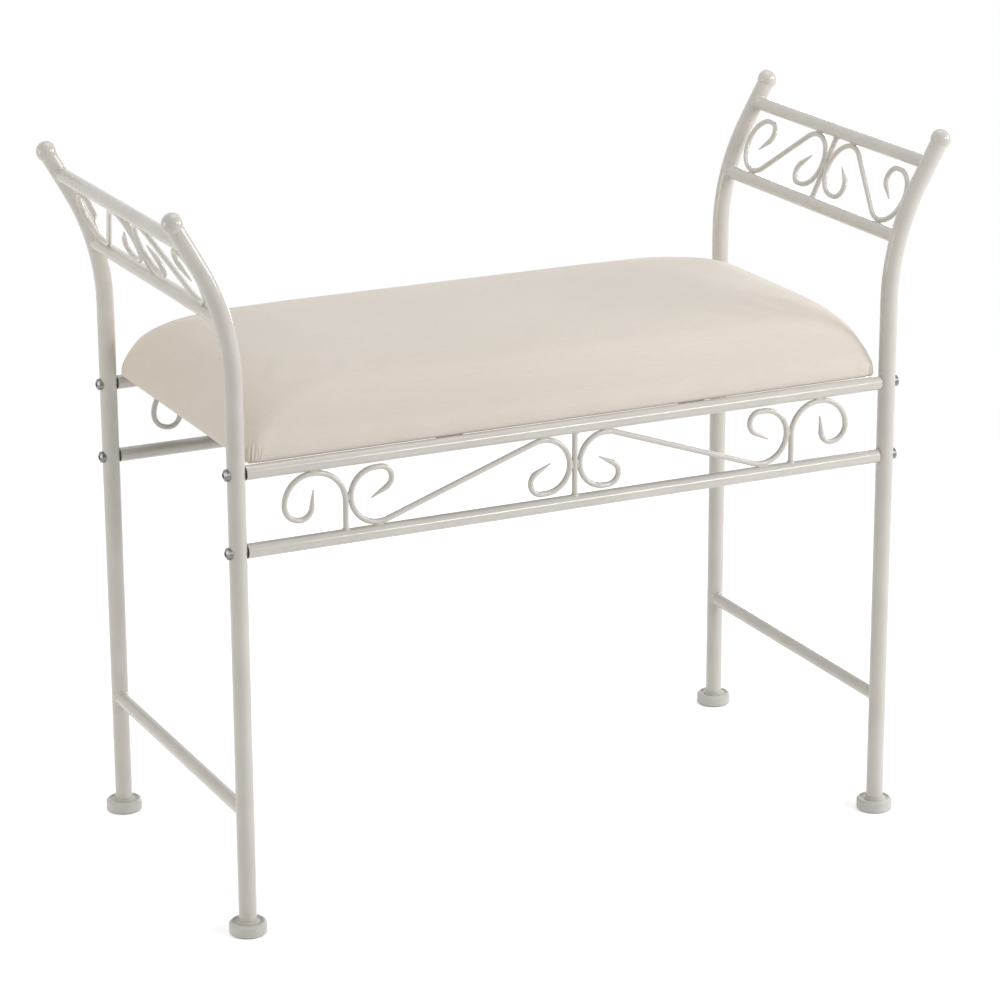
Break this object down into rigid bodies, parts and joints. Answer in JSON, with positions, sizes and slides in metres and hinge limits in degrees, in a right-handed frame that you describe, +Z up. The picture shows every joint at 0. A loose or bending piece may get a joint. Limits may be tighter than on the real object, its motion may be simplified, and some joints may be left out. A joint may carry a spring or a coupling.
{
  "type": "metal bench",
  "caption": "Small metal bench with flared scrollwork arms, scrolled seat panels and a padded fabric seat, bolted together from welded tube frames.",
  "frame": {"origin": "on the floor, under the middle of the bench", "axes": "+X along the seat to the right arm, +Y from the front panel to the rear panel, +Z up"},
  "size_m": [0.7632, 0.3496, 0.655],
  "materials": {
    "ivory_paint": "satin powder coat",
    "foot_plastic": "moulded, satin",
    "glide_pad": "matte",
    "zinc": "bright zinc plate",
    "staple_wire": "galvanised",
    "plywood": "unfinished plywood",
    "foam": "open-cell seat foam",
    "cover_cloth": "fine smooth cream cloth",
    "dust_cloth": "thin non-woven cloth"
  },
  "bodies": {
    "root": {"arm_bar_left": "ivory_paint", "arm_bar_right": "ivory_paint", "arm_scroll_front_left": "ivory_paint", "arm_scroll_front_right": "ivory_paint", "arm_scroll_rear_left": "ivory_paint", "arm_scroll_rear_right": "ivory_paint", "arm_tube_low_left": "ivory_paint", "arm_tube_low_right": "ivory_paint", "arm_tube_top_left": "ivory_paint", "arm_tube_top_right": "ivory_paint", "dust_cover": "dust_cloth", "finial_front_left": "ivory_paint", "finial_front_right": "ivory_paint", "finial_rear_left": "ivory_paint", "finial_rear_right": "ivory_paint", "foot_front_left": "foot_plastic", "foot_front_right": "foot_plastic", "foot_pads": "glide_pad", "foot_rear_left": "foot_plastic", "foot_rear_right": "foot_plastic", "frame_bolts": "zinc", "leg_front_left": "ivory_paint", "leg_front_right": "ivory_paint", "leg_rear_left": "ivory_paint", "leg_rear_right": "ivory_paint", "panel_bar_front": "ivory_paint", "panel_bar_rear": "ivory_paint", "panel_hook_front_left": "ivory_paint", "panel_hook_front_right": "ivory_paint", "panel_hook_rear_left": "ivory_paint", "panel_hook_rear_right": "ivory_paint", "panel_scroll_front_left": "ivory_paint", "panel_scroll_front_right": "ivory_paint", "panel_scroll_rear_left": "ivory_paint", "panel_scroll_rear_right": "ivory_paint", "rail_inserts": "zinc", "saddle_washers": "zinc", "seat_board": "plywood", "seat_cover": "cover_cloth", "seat_foam": "foam", "seat_lugs": "ivory_paint", "seat_rail_low_front": "ivory_paint", "seat_rail_low_rear": "ivory_paint", "seat_rail_top_front": "ivory_paint", "seat_rail_top_rear": "ivory_paint", "seat_screws": "zinc", "staples": "staple_wire", "stretcher_left": "ivory_paint", "stretcher_right": "ivory_paint"}
  },
  "joints": []
}
